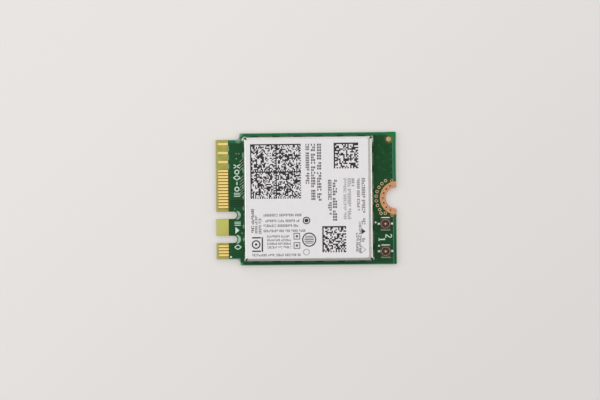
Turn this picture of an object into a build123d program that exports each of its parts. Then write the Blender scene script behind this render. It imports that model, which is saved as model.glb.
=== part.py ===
from build123d import *
import math
import os

# Plug-in wireless card for a laptop: a 22 x 30 mm board with a two-key card edge, a folded shield can
# under a label, two coax jacks and a half-round screw notch.
# Millimetres, +Z up. Origin: under the middle of the board, on its lower face. +X runs from the card
# edge to the screw notch, +Y towards the contact with the highest number.

# Board layers
core_thickness = 0.70
mask_thickness = 0.05
copper_thickness = 0.035
plating_thickness = 0.035
land_thickness = 0.07
mask_clearance = 0.05

# Board outline
board_length = 30.0
tongue_length = 4.0
tongue_side_margin = 0.675
shoulder_width = 1.075
outer_corner_radius = 0.2
inner_corner_radius = 0.3
bevel_length = 0.30
bevel_height = 0.20

# Card edge: contacts are numbered from 1 at -Y, odd ones on top and even ones below
contact_count = 75
contact_pitch = 0.5
contact_width = 0.35
contact_length = 1.65
contact_setback = 0.40
key_width = 1.2
key_depth = 3.5
key_spans = ((8, 15), (24, 31))
top_contacts = [1, 3, 5, 7] + list(range(33, 58, 2)) + [63, 69, 75]

# Screw notch and its ring of plated holes
notch_radius = 1.75
ring_width = 1.0
ring_hole_count = 7
ring_hole_radius = 0.15
ring_hole_setback = 0.5
ring_hole_step = 21.0
tip_hole_reach = 0.2
tip_hole_angle = 75.0

# Plated holes outside the ring
via_hole_radius = 0.15
via_pad_radius = 0.275
via_arc_gap = 0.63
via_arc_count = 8
via_arc_start = 58.3
via_arc_step = 13.23
via_pair_reach = 0.40
via_pair_angle = -53.5
via_pair_pitch = 0.70
small_hole_flat_count = 8
small_pad_flat_count = 12
round_form_flat_count = 24

# Alignment mark
fiducial_radius = 0.4
fiducial_opening_radius = 0.75
fiducial_edge_distance = 1.22

# Shield can
can_left_margin = 0.83
can_right_margin = 3.97
can_side_margin = 0.75
can_height = 1.28
sheet_thickness = 0.15
cut_overrun = 1.0
bend_radius = 0.15
corner_relief_radius = 0.15
foot_gap = 1.2
foot_gap_height = 0.22
foot_pitch_long_wall = 3.55
foot_pitch_side_wall = 3.25
end_foot_minimum = 0.4
shield_land_reach = 0.22
bead_width = 0.14
bead_height = 0.12

# Label
label_thickness = 0.10
label_left_margin = 0.32
label_right_margin = 0.66
label_top_margin = 0.32
label_bottom_margin = 0.43
label_corner_radius = 0.35
print_thickness = 0.02

# Printed fields: left, bottom, x size and y size on artwork of this size, which is stretched to the label
artwork_x_size = 20.22
artwork_y_size = 19.75
code_fields = ((0.7, 9.87, 8.37, 9.05), (14.53, 14.77, 4.06, 4.26), (12.52, 0.92, 3.93, 4.33))
line_fields = (
    (9.88, 12.15, 0.57, 6.75), (10.78, 9.47, 0.66, 9.43), (11.77, 9.37, 0.67, 9.53),
    (13.55, 6.9, 0.56, 6.0), (14.33, 6.1, 0.66, 6.8), (16.1, 6.23, 0.45, 6.9),
    (16.77, 6.23, 0.55, 6.9), (17.45, 11.8, 0.43, 1.3), (18.33, 7.7, 0.44, 5.4),
    (19.1, 7.37, 0.55, 5.8), (19.1, 5.2, 0.55, 1.3), (19.1, 2.3, 0.5, 0.9), (18.11, 0.8, 0.4, 3.3),
    (18.58, 0.8, 0.4, 5.2),
    (2.8, 6.95, 6.3, 0.4), (3.1, 6.0, 5.9, 0.4), (2.8, 5.2, 5.8, 0.4), (2.8, 4.35, 7.1, 0.4),
    (3.4, 3.45, 4.0, 0.35), (3.4, 2.85, 4.0, 0.35), (3.4, 2.25, 4.0, 0.35), (3.4, 1.65, 4.0, 0.35),
    (0.9, 0.35, 8.1, 0.4), (0.8, 3.95, 0.43, 4.25), (1.4, 4.0, 0.38, 3.1), (2.0, 3.95, 0.44, 2.65),
)

# White marks on the green coat
silkscreen_thickness = 0.02
arrow_base = 1.13
arrow_length = 0.67
arrow_setback = 3.2
arrow_drop = 0.51
dot_radius = 0.16
dot_gap = 0.16
dot_rise = 0.25
dot_coat_distance = 0.33
dot_contact_drop = 0.30

# Coax jacks
jack_edge_distance = 1.87
jack_side_distance = 2.17
jack_ring_distance = 1.53
jack_x_size = 1.72
jack_y_size = 1.80
jack_base_height = 0.22
jack_height = 0.60
jack_ring_radius = 0.75
jack_ring_wall = 0.08
jack_ring_lip = 0.03
jack_plate_thickness = 0.08
jack_plate_rise = 0.10
jack_boss_radius = 0.42
jack_boss_height = 0.12
jack_pin_radius = 0.15
jack_pin_height = 0.46
jack_side_foot_length = 1.50
jack_side_foot_reach = 0.10
jack_end_foot_width = 0.30
jack_end_foot_reach = 0.26
jack_side_bead_width = 0.08
jack_end_bead_width = 0.16
jack_land_margin = 0.02

# Parts under the can
wall_clearance = 0.50
part_gap = 0.60
lead_thickness = 0.05
lead_length = 0.40
lead_width = 0.25
lead_pitch = 0.5
row_end_margin = 0.45
corner_margin = 0.70
land_overhang = 0.20
radio_size = 6.0
radio_height = 0.80
radio_offset_y = 1.0
module_size = 2.0
module_height = 0.75
memory_x_size = 2.0
memory_y_size = 3.0
memory_height = 0.55
memory_offset_y = 5.0
regulator_size = 2.0
regulator_height = 0.70
regulator_offset_y = -1.6
crystal_x_size = 2.5
crystal_y_size = 2.0
crystal_base_height = 0.35
crystal_lid_height = 0.20
crystal_lid_inset = 0.15
crystal_offset_y = 4.0
crystal_land_size = 0.70
inductor_length = 2.0
inductor_width = 1.6
inductor_height = 0.95
inductor_cap = 0.45
diplexer_length = 1.6
diplexer_width = 0.8
diplexer_height = 0.60
diplexer_cap = 0.30
capacitor_length = 1.0
capacitor_width = 0.5
capacitor_height = 0.50
capacitor_cap = 0.25
capacitor_gap = 0.40
capacitor_pitch = 1.5
capacitors_per_row = 3
supply_capacitor_count = 2
supply_capacitor_pitch = 1.0
resistor_height = 0.35
resistor_count = 4
resistor_pitch = 0.90
resistor_wall_distance = 1.2
cap_step = 0.01

# Copper spots for test pins on the underside
test_pad_radius = 0.45
test_pad_pitch = 2.0
test_pad_columns = 2
test_pad_rows = 2
test_pad_x = 2.0
test_pad_y = 5.0

# Levels and edges that follow from the sizes above
core_bottom = mask_thickness
core_top = core_bottom + core_thickness
mask_top = core_top + mask_thickness
land_top = core_top + land_thickness
can_top = land_top + can_height
label_top = can_top + label_thickness
middle_contact = (1 + contact_count) / 2
tongue_width = (contact_count - 1) * contact_pitch / 2 + 2 * tongue_side_margin
board_width = tongue_width + 2 * shoulder_width
left_edge = -board_length / 2
right_edge = board_length / 2
shoulder_x = left_edge + tongue_length
coat_start = left_edge + contact_setback + contact_length + mask_clearance
ring_radius = notch_radius + ring_width
can_left = shoulder_x + can_left_margin
can_right = right_edge - can_right_margin
can_side = board_width / 2 - can_side_margin
can_length = can_right - can_left
can_x = (can_left + can_right) / 2
label_left = can_left + label_left_margin
label_right = can_right - label_right_margin
label_bottom_side = -can_side + label_bottom_margin
label_top_side = can_side - label_top_margin
label_x_size = label_right - label_left
label_y_size = label_top_side - label_bottom_side
jack_x = right_edge - jack_edge_distance
jack_y_places = (-board_width / 2 + jack_side_distance, -ring_radius - jack_ring_distance)
cavity_left = can_left + sheet_thickness
cavity_right = can_right - sheet_thickness
cavity_side = can_side - sheet_thickness


def contact_y(number):
    """Y of the middle of a card edge contact."""
    return (number - middle_contact) * contact_pitch / 2


def block(x_size, y_size, bottom, top, x=0.0, y=0.0):
    """Upright block round a point."""
    base = (Align.CENTER, Align.CENTER, Align.MIN)
    return Pos(x, y, bottom) * Box(x_size, y_size, top - bottom, align=base)


def slab(outline, bottom, top):
    """Flat plate from an outline drawn in the XY plane."""
    return extrude(Pos(0, 0, bottom) * outline, amount=top - bottom, dir=(0, 0, 1))


def disc(radius, x=0.0, y=0.0):
    return Pos(x, y) * Circle(radius)


def small_hole(radius, x, y):
    """Tiny round outline with few flats, which keeps the many plated holes light."""
    return Pos(x, y) * RegularPolygon(radius, small_hole_flat_count)


def small_pad(radius, x=0.0, y=0.0):
    """Small round pad outline with few flats."""
    return Pos(x, y) * RegularPolygon(radius, small_pad_flat_count)


def round_form(radius, x=0.0, y=0.0):
    """Round outline of a coax jack or the alignment mark."""
    return Pos(x, y) * RegularPolygon(radius, round_form_flat_count)


def patch(x_size, y_size, x=0.0, y=0.0):
    return Pos(x, y) * Rectangle(x_size, y_size)


def group(solids):
    """One node made of several separate solids."""
    return Compound(children=[solid for item in solids for solid in item.solids()])


# Board

def is_keyed_out(number):
    return any(first <= number <= last for first, last in key_spans)


def key_slot(first, last):
    """Round-ended slot cut in from the card edge."""
    y = (contact_y(first) + contact_y(last)) / 2
    end_x = left_edge + key_depth - key_width / 2
    straight = patch(end_x - left_edge + key_width, key_width, (end_x + left_edge - key_width) / 2, y)
    return straight + disc(key_width / 2, end_x, y)


def board_outline(notch):
    """Board seen from above, with the card edge tongue, both key slots and the screw notch."""
    body_length = right_edge - shoulder_x
    body = RectangleRounded(body_length, board_width, outer_corner_radius)
    body = Pos(shoulder_x + body_length / 2) * body
    tongue = patch(2 * tongue_length, tongue_width, shoulder_x)
    outline = body + tongue
    corners = outline.vertices().filter_by(
        lambda v: abs(v.X - shoulder_x) < 1e-3 and abs(abs(v.Y) - tongue_width / 2) < 1e-3)
    outline = fillet(corners, inner_corner_radius)
    for first, last in key_spans:
        outline -= key_slot(first, last)
    return outline - disc(notch, right_edge)


def bevel_profile():
    """Board seen from the side: both faces taper at the card edge."""
    nose_low = core_bottom + bevel_height
    nose_high = core_top - bevel_height
    points = [(left_edge, nose_low), (left_edge + bevel_length, core_bottom), (right_edge, core_bottom),
              (right_edge, core_top), (left_edge + bevel_length, core_top), (left_edge, nose_high)]
    return extrude(Plane.XZ * make_face(Polyline(*points, close=True)), amount=board_width / 2, both=True)


def polar_from_notch(radius, angle):
    """Point at a radius from the notch's centre; the angle turns from -X towards +Y."""
    turn = math.radians(angle)
    return (right_edge - radius * math.cos(turn), radius * math.sin(turn))


def ring_hole_points():
    middle = (ring_hole_count - 1) / 2
    on_ring = [polar_from_notch(notch_radius + ring_hole_setback, (i - middle) * ring_hole_step)
               for i in range(ring_hole_count)]
    return on_ring + tip_hole_points()


def tip_hole_points():
    return [polar_from_notch(ring_radius + tip_hole_reach, side * tip_hole_angle) for side in (1, -1)]


def via_points():
    """Plated holes in an arc round the ring, and two more beside its lower end."""
    arc_radius = ring_radius + via_arc_gap
    arc = [polar_from_notch(arc_radius, via_arc_start - i * via_arc_step) for i in range(via_arc_count)]
    pair_x, pair_y = polar_from_notch(ring_radius + via_pair_reach, via_pair_angle)
    pair = [(pair_x - i * via_pair_pitch, pair_y) for i in range(2)]
    return arc + pair


def circuit_board():
    outline = board_outline(notch_radius + plating_thickness)
    holes = [small_hole(ring_hole_radius + plating_thickness, x, y) for x, y in ring_hole_points()]
    holes += [small_hole(via_hole_radius + plating_thickness, x, y) for x, y in via_points()]
    return slab(outline - holes, core_bottom, core_top) & bevel_profile()


def ring_outline():
    """Bare copper round the notch, with a round lug at each end."""
    outline = disc(ring_radius, right_edge)
    for x, y in tip_hole_points():
        outline += small_pad(via_pad_radius, x, y)
    half = patch(2 * ring_radius, 4 * ring_radius, right_edge - ring_radius)
    return outline & half


def screw_notch_plating():
    """Copper on both faces and down the wall of the notch, with a tube in each hole."""
    face = ring_outline() - disc(notch_radius, right_edge)
    wall = disc(notch_radius + plating_thickness, right_edge) - disc(notch_radius, right_edge)
    wall &= patch(2 * ring_radius, 4 * ring_radius, right_edge - ring_radius)
    plating = slab(face, core_top, core_top + copper_thickness)
    plating += slab(face, core_bottom - copper_thickness, core_bottom)
    plating += slab(wall, core_bottom, core_top)
    for x, y in ring_hole_points():
        plating += slab(small_hole(ring_hole_radius + plating_thickness, x, y), core_bottom, core_top)
    drills = [slab(small_hole(ring_hole_radius, x, y), 0, mask_top) for x, y in ring_hole_points()]
    return plating - drills


def stitching_vias():
    """Plated holes with a round pad on top; the coat below closes their other end."""
    vias = []
    for x, y in via_points():
        pad = slab(small_pad(via_pad_radius, x, y), core_top, core_top + copper_thickness)
        tube = slab(small_hole(via_hole_radius + plating_thickness, x, y), core_bottom, core_top)
        bore = slab(small_hole(via_hole_radius, x, y), 0, mask_top)
        vias.append(pad + tube - bore)
    return group(vias)


def contact_row(numbers, bottom, top):
    x = left_edge + contact_setback + contact_length / 2
    return group([block(contact_length, contact_width, bottom, top, x, contact_y(n)) for n in numbers])


def contact_fingers_top():
    return contact_row(top_contacts, core_top, core_top + copper_thickness)


def contact_fingers_bottom():
    numbers = [n for n in range(2, contact_count + 1, 2) if not is_keyed_out(n)]
    return contact_row(numbers, core_bottom - copper_thickness, core_bottom)


def fiducial_place():
    return (right_edge - fiducial_edge_distance, board_width / 2 - fiducial_edge_distance)


def fiducial_mark():
    x, y = fiducial_place()
    return slab(round_form(fiducial_radius, x, y), core_top, core_top + copper_thickness)


def test_pad_points():
    return [(test_pad_x + i * test_pad_pitch, test_pad_y - j * test_pad_pitch)
            for i in range(test_pad_columns) for j in range(test_pad_rows)]


def test_pads():
    low = core_bottom - copper_thickness
    return group([slab(small_pad(test_pad_radius, x, y), low, core_bottom) for x, y in test_pad_points()])


# Shield can

def wall_gaps(length, pitch):
    """Middles of the gaps between the feet along a wall, measured from its middle."""
    count = int((length - 2 * end_foot_minimum - foot_gap) / pitch) + 1
    return [(i - (count - 1) / 2) * pitch for i in range(count)]


def wall_feet(length, pitch):
    """Middle and length of each foot along a wall."""
    gaps = wall_gaps(length, pitch)
    starts = [-length / 2] + [gap + foot_gap / 2 for gap in gaps]
    ends = [gap - foot_gap / 2 for gap in gaps] + [length / 2]
    return [((start + end) / 2, end - start) for start, end in zip(starts, ends)]


def can_walls():
    """The four walls: direction, outer face, middle of its run, length and foot pitch."""
    long_run = can_length - 2 * corner_cut()
    side_run = 2 * (can_side - corner_cut())
    return (("+y", can_side, can_x, long_run, foot_pitch_long_wall),
            ("-y", -can_side, can_x, long_run, foot_pitch_long_wall),
            ("+x", can_right, 0.0, side_run, foot_pitch_side_wall),
            ("-x", can_left, 0.0, side_run, foot_pitch_side_wall))


def corner_cut():
    """Side of the square left open at each corner of the folded sheet."""
    return sheet_thickness + bend_radius


def place_on_wall(wall, run, out):
    """Point at a distance along a wall and outwards from its outer face."""
    direction, face, middle, _, _ = wall
    sign = 1 if direction[0] == "+" else -1
    if direction[1] == "y":
        return (middle + run, face + sign * out)
    return (face + sign * out, middle + run)


def wall_block(wall, run, length, inner, outer, bottom, top):
    """Block along a wall, between two distances outwards from the wall's outer face."""
    x, y = place_on_wall(wall, run, (inner + outer) / 2)
    if wall[0][1] == "y":
        return block(length, outer - inner, bottom, top, x, y)
    return block(outer - inner, length, bottom, top, x, y)


def can_feet():
    """Each foot of each wall with its middle and length along the wall."""
    return [(wall, middle, length) for wall in can_walls() for middle, length in wall_feet(wall[3], wall[4])]


def shield_can():
    """One folded sheet: a top with four walls, open at the corners, standing on feet."""
    width = 2 * can_side
    outer = block(can_length, width, land_top, can_top, can_x)
    outer = fillet(outer.faces().sort_by(Axis.Z)[-1].edges(), bend_radius + sheet_thickness)
    inner = block(can_length - 2 * sheet_thickness, width - 2 * sheet_thickness,
                  land_top - sheet_thickness, can_top - sheet_thickness, can_x)
    inner = fillet(inner.faces().sort_by(Axis.Z)[-1].edges(), bend_radius)
    can = outer - inner
    cuts = []
    side = corner_cut()
    below = land_top - cut_overrun
    above = can_top + cut_overrun
    for x in (can_left, can_right):
        inward_x = math.copysign(side / 2, can_x - x)
        for y in (-can_side, can_side):
            inward_y = math.copysign(side / 2, -y)
            cuts.append(block(side, side, below, above, x + inward_x, y + inward_y))
            relief = disc(corner_relief_radius, x + 2 * inward_x, y + 2 * inward_y)
            cuts.append(slab(relief, below, above))
    for wall in can_walls():
        for gap in wall_gaps(wall[3], wall[4]):
            cuts.append(wall_block(wall, gap, foot_gap, -2 * sheet_thickness, sheet_thickness,
                                   below, land_top + foot_gap_height))
    return can - cuts


def shield_ground_pads():
    pads = [wall_block(wall, middle, length, -2 * sheet_thickness, shield_land_reach, core_top, land_top)
            for wall, middle, length in can_feet()]
    return group(pads)


def shield_pad_windows():
    windows = []
    for wall, middle, length in can_feet():
        x, y = place_on_wall(wall, middle, (shield_land_reach - 2 * sheet_thickness) / 2)
        depth = shield_land_reach + 2 * sheet_thickness
        sizes = (length, depth) if wall[0][1] == "y" else (depth, length)
        windows.append((*sizes, x, y))
    return windows


def bead(length, width, height):
    """Solder fillet along Y, with its upright side at x = 0 and its toe towards +X."""
    face = make_face(Polyline((0, 0), (width, 0), (0, height), close=True))
    return extrude(Plane.XZ * face, amount=length / 2, both=True)


def turned(solid, direction):
    """A form that points towards +X, turned to point another way."""
    angle = {"+x": 0, "+y": 90, "-x": 180, "-y": 270}[direction]
    return Rot(0, 0, angle) * solid


def shield_solder():
    beads = []
    for wall, middle, length in can_feet():
        x, y = place_on_wall(wall, middle, 0)
        beads.append(Pos(x, y, land_top) * turned(bead(length, bead_width, bead_height), wall[0]))
    return group(beads)


# Label

def label():
    outline = RectangleRounded(label_x_size, label_y_size, label_corner_radius)
    middle = Pos((label_left + label_right) / 2, (label_top_side + label_bottom_side) / 2)
    return slab(middle * outline, can_top, label_top)


def label_print():
    """Fields of ink on the label, where it carries codes and lines."""
    stretch_x = label_x_size / artwork_x_size
    stretch_y = label_y_size / artwork_y_size
    print_top = label_top + print_thickness
    fields = []
    for left, bottom, x_size, y_size in code_fields + line_fields:
        x = label_left + (left + x_size / 2) * stretch_x
        y = label_bottom_side + (bottom + y_size / 2) * stretch_y
        fields.append(block(x_size * stretch_x, y_size * stretch_y, label_top, print_top, x, y))
    return group(fields)


# White marks

def silkscreen_marks():
    """Arrow between the key slots, and dots beside the first contact and the jacks."""
    key_middles = [(contact_y(first) + contact_y(last)) / 2 for first, last in key_spans]
    arrow_y = sum(key_middles) / len(key_middles) - arrow_drop
    base_x = left_edge + arrow_setback
    arrow = make_face(Polyline((base_x, arrow_y + arrow_base / 2), (base_x + arrow_length, arrow_y),
                               (base_x, arrow_y - arrow_base / 2), close=True))
    low_jack, high_jack = jack_y_places
    clear = jack_land_margin + dot_gap + dot_radius
    beside_tail = jack_x_size / 2 + jack_end_foot_reach + jack_end_bead_width + clear
    beside_foot = jack_side_foot_length / 2 + clear
    dots = [(coat_start + dot_coat_distance, contact_y(1) - dot_contact_drop),
            (jack_x - beside_foot, low_jack + jack_y_size / 2), (jack_x - beside_tail, high_jack + dot_rise)]
    marks = [slab(arrow, mask_top, mask_top + silkscreen_thickness)]
    for x, y in dots:
        marks.append(slab(small_pad(dot_radius, x, y), mask_top, mask_top + silkscreen_thickness))
    return group(marks)


# Coax jacks, each modelled round its own middle on the lands

def jack_foot(half_size, plate_start, reach, width):
    """Sheet tab towards +X: inside the base, down its side and out onto the land."""
    outer = half_size + jack_plate_thickness
    plate = block(outer - plate_start, width, jack_plate_rise, jack_plate_rise + jack_plate_thickness,
                  (outer + plate_start) / 2)
    drop = block(jack_plate_thickness, width, 0, jack_plate_rise + jack_plate_thickness,
                 half_size + jack_plate_thickness / 2)
    foot = block(reach, width, 0, jack_plate_thickness, half_size + reach / 2)
    return plate + drop + foot


def jack_shell():
    """Outer contact ring with two long side feet and one end foot."""
    inner_radius = jack_ring_radius - jack_ring_wall
    tube = slab(round_form(jack_ring_radius), jack_plate_rise, jack_height)
    tube = chamfer(tube.faces().sort_by(Axis.Z)[-1].edges(), jack_ring_lip)
    feet = turned(jack_foot(jack_y_size / 2, 0, jack_side_foot_reach, jack_side_foot_length), "+y")
    feet += turned(jack_foot(jack_y_size / 2, 0, jack_side_foot_reach, jack_side_foot_length), "-y")
    feet += jack_foot(jack_x_size / 2, 0, jack_end_foot_reach, jack_end_foot_width)
    return tube + feet - slab(round_form(inner_radius), 0, jack_height)


def jack_contact():
    """Centre pin with a flat tail towards the can."""
    length = jack_x_size / 2 + jack_end_foot_reach
    tail = block(length, jack_end_foot_width, 0, jack_plate_thickness, -length / 2)
    pin = slab(small_pad(jack_pin_radius), 0, jack_pin_height)
    pin = chamfer(pin.faces().sort_by(Axis.Z)[-1].edges(), jack_pin_radius / 2)
    return pin + tail


def jack_housing():
    """Moulded base round the metal parts, with a boss about the centre pin."""
    base = block(jack_x_size, jack_y_size, 0, jack_base_height)
    boss = slab(round_form(jack_boss_radius), 0, jack_base_height + jack_boss_height)
    return base + boss - jack_shell() - jack_contact()


def jack_tab_places():
    """Each solder tab: direction, end from the jack's middle, reach, width and width of its bead."""
    side_end = jack_y_size / 2 + jack_side_foot_reach
    end_end = jack_x_size / 2 + jack_end_foot_reach
    side = (side_end, jack_side_foot_reach, jack_side_foot_length, jack_side_bead_width)
    end = (end_end, jack_end_foot_reach, jack_end_foot_width, jack_end_bead_width)
    return (("+y", *side), ("-y", *side), ("+x", *end), ("-x", *end))


def jack_lands():
    """Lands of one jack as x size, y size, x and y from its middle."""
    lands = []
    for direction, end, reach, width, bead_reach in jack_tab_places():
        outer = end + bead_reach + jack_land_margin
        inner = end - reach
        long_size = width + 2 * jack_land_margin
        sign = 1 if direction[0] == "+" else -1
        middle = sign * (outer + inner) / 2
        if direction[1] == "y":
            lands.append((long_size, outer - inner, 0, middle))
        else:
            lands.append((outer - inner, long_size, middle, 0))
    return lands


def jack_beads():
    beads = []
    for direction, end, _, width, bead_reach in jack_tab_places():
        tab_bead = Pos(end) * bead(width, bead_reach, jack_plate_thickness)
        beads.append(turned(tab_bead, direction))
    return beads


def at_jack(index, solid):
    return Pos(jack_x, jack_y_places[index], land_top) * solid


def antenna_jack_solder():
    return group([at_jack(index, one) for index in range(len(jack_y_places)) for one in jack_beads()])


# Parts under the can. Each returns its solids, and its lands and mask windows as x size, y size, x, y.

def grown(rectangles, margin):
    return [(x_size + 2 * margin, y_size + 2 * margin, x, y) for x_size, y_size, x, y in rectangles]


def leads_in_row(side_length, end_margin):
    return int((side_length - 2 * end_margin) / lead_pitch) + 1


def leaded_part(x, y, x_size, y_size, height, sides):
    """Flat package on rows of leads: body, leads, lands and one mask window a row."""
    end_margin = corner_margin if len(sides) > 2 else row_end_margin
    body = block(x_size, y_size, land_top + lead_thickness, land_top + lead_thickness + height, x, y)
    leads = []
    lands = []
    windows = []
    land_length = lead_length + land_overhang
    for direction in sides:
        sign = 1 if direction[0] == "+" else -1
        along_y = direction[1] == "x"
        count = leads_in_row(y_size if along_y else x_size, end_margin)
        run = (count - 1) * lead_pitch + lead_width
        half = (x_size if along_y else y_size) / 2
        lead_middle = sign * (half - lead_length / 2)
        land_middle = sign * (half + land_overhang - land_length / 2)
        for i in range(count):
            offset = (i - (count - 1) / 2) * lead_pitch
            if along_y:
                leads.append(block(lead_length, lead_width, land_top, land_top + lead_thickness,
                                   x + lead_middle, y + offset))
                lands.append((land_length, lead_width, x + land_middle, y + offset))
            else:
                leads.append(block(lead_width, lead_length, land_top, land_top + lead_thickness,
                                   x + offset, y + lead_middle))
                lands.append((lead_width, land_length, x + offset, y + land_middle))
        if along_y:
            windows.append((land_length, run, x + land_middle, y))
        else:
            windows.append((run, land_length, x, y + land_middle))
    return body, leads, lands, windows


def chip_part(x, y, along_x, length, width, height, cap):
    """Two-terminal chip: body, its two end caps, its two lands and the mask window round them."""
    body_length = length - 2 * cap
    body_width = width - 2 * cap_step
    body_sizes = (body_length, body_width) if along_x else (body_width, body_length)
    body = block(*body_sizes, land_top + cap_step, land_top + height - cap_step, x, y)
    caps = []
    lands = []
    for side in (-1, 1):
        cap_middle = side * (length - cap) / 2
        land_middle = side * (length - cap + land_overhang) / 2
        if along_x:
            caps.append(block(cap, width, land_top, land_top + height, x + cap_middle, y))
            lands.append((cap + land_overhang, width, x + land_middle, y))
        else:
            caps.append(block(width, cap, land_top, land_top + height, x, y + cap_middle))
            lands.append((width, cap + land_overhang, x, y + land_middle))
    reach = length + 2 * land_overhang
    window = (reach, width, x, y) if along_x else (width, reach, x, y)
    return body, caps, lands, [window]


left_column_x = cavity_left + wall_clearance + memory_x_size / 2
diplexer_x = cavity_right - wall_clearance - diplexer_length / 2
module_x = diplexer_x - diplexer_length / 2 - part_gap - module_size / 2
radio_x = (left_column_x + memory_x_size / 2 + module_x - module_size / 2) / 2
inductor_y = regulator_offset_y - regulator_size / 2 - part_gap - inductor_width / 2


def radio_chip():
    return leaded_part(radio_x, radio_offset_y, radio_size, radio_size, radio_height,
                       ("+x", "-x", "+y", "-y"))


def front_end_module(index):
    return leaded_part(module_x, jack_y_places[index], module_size, module_size, module_height,
                       ("+x", "-x"))


def memory_chip():
    return leaded_part(left_column_x, memory_offset_y, memory_x_size, memory_y_size, memory_height,
                       ("+x", "-x"))


def regulator_chip():
    return leaded_part(left_column_x, regulator_offset_y, regulator_size, regulator_size,
                       regulator_height, ("+x", "-x"))


def power_inductor():
    return chip_part(left_column_x, inductor_y, True, inductor_length, inductor_width, inductor_height,
                     inductor_cap)


def diplexer(index):
    return chip_part(diplexer_x, jack_y_places[index], True, diplexer_length, diplexer_width,
                     diplexer_height, diplexer_cap)


def crystal_lands():
    reach_x = (crystal_x_size - crystal_land_size) / 2
    reach_y = (crystal_y_size - crystal_land_size) / 2
    return [(crystal_land_size, crystal_land_size, module_x + i * reach_x, crystal_offset_y + j * reach_y)
            for i in (-1, 1) for j in (-1, 1)]


def crystal_base():
    return block(crystal_x_size, crystal_y_size, land_top, land_top + crystal_base_height,
                 module_x, crystal_offset_y)


def crystal_lid():
    bottom = land_top + crystal_base_height
    return block(crystal_x_size - 2 * crystal_lid_inset, crystal_y_size - 2 * crystal_lid_inset,
                 bottom, bottom + crystal_lid_height, module_x, crystal_offset_y)


def capacitor(x, y, along_x):
    return chip_part(x, y, along_x, capacitor_length, capacitor_width, capacitor_height, capacitor_cap)


def capacitors():
    """Rows of chip capacitors above and below the radio chip, and some above the regulator."""
    reach = radio_size / 2 + land_overhang + capacitor_gap + capacitor_length / 2
    parts = []
    for i in range(capacitors_per_row):
        x = radio_x + (i - (capacitors_per_row - 1) / 2) * capacitor_pitch
        for side in (-1, 1):
            parts.append(capacitor(x, radio_offset_y + side * reach, False))
    first_y = regulator_offset_y + regulator_size / 2 + part_gap + capacitor_width / 2
    for i in range(supply_capacitor_count):
        parts.append(capacitor(left_column_x, first_y + i * supply_capacitor_pitch, True))
    return parts


def resistors():
    """Row of chip resistors near the can's lower wall."""
    y = -cavity_side + resistor_wall_distance
    first_x = radio_x - (resistor_count - 1) / 2 * resistor_pitch
    return [chip_part(first_x + i * resistor_pitch, y, False, capacitor_length, capacitor_width,
                      resistor_height, capacitor_cap) for i in range(resistor_count)]


def jack_indexes():
    return range(len(jack_y_places))


def leaded_parts():
    return [radio_chip(), memory_chip(), regulator_chip()] + [front_end_module(i) for i in jack_indexes()]


def chip_parts():
    return [power_inductor()] + [diplexer(i) for i in jack_indexes()] + capacitors() + resistors()


def component_lands():
    lands = crystal_lands()
    for part in leaded_parts() + chip_parts():
        lands += part[2]
    for y in jack_y_places:
        lands += [(x_size, y_size, jack_x + x, y + dy) for x_size, y_size, x, dy in jack_lands()]
    return lands


def component_windows():
    windows = crystal_lands()
    for part in leaded_parts() + chip_parts():
        windows += part[3]
    for y in jack_y_places:
        windows += [(x_size, y_size, jack_x + x, y + dy) for x_size, y_size, x, dy in jack_lands()]
    return windows


def component_pads():
    return group([block(x_size, y_size, core_top, land_top, x, y)
                  for x_size, y_size, x, y in component_lands()])


# Green coats

def coated_area():
    """Board from the ends of the contacts to the screw notch, less the bare ring."""
    outline = board_outline(notch_radius)
    beyond_contacts = patch(board_length, 2 * board_width, coat_start + board_length / 2)
    return (outline & beyond_contacts) - ring_outline()


def solder_mask_top():
    windows = grown(component_windows() + shield_pad_windows(), mask_clearance)
    openings = [patch(*window) for window in windows]
    openings += [small_pad(via_pad_radius, x, y) for x, y in via_points()]
    openings.append(round_form(fiducial_opening_radius, *fiducial_place()))
    return slab(coated_area() - openings, core_top, mask_top)


def solder_mask_bottom():
    openings = [small_pad(test_pad_radius, x, y) for x, y in test_pad_points()]
    return slab(coated_area() - openings, 0, core_bottom)


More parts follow.
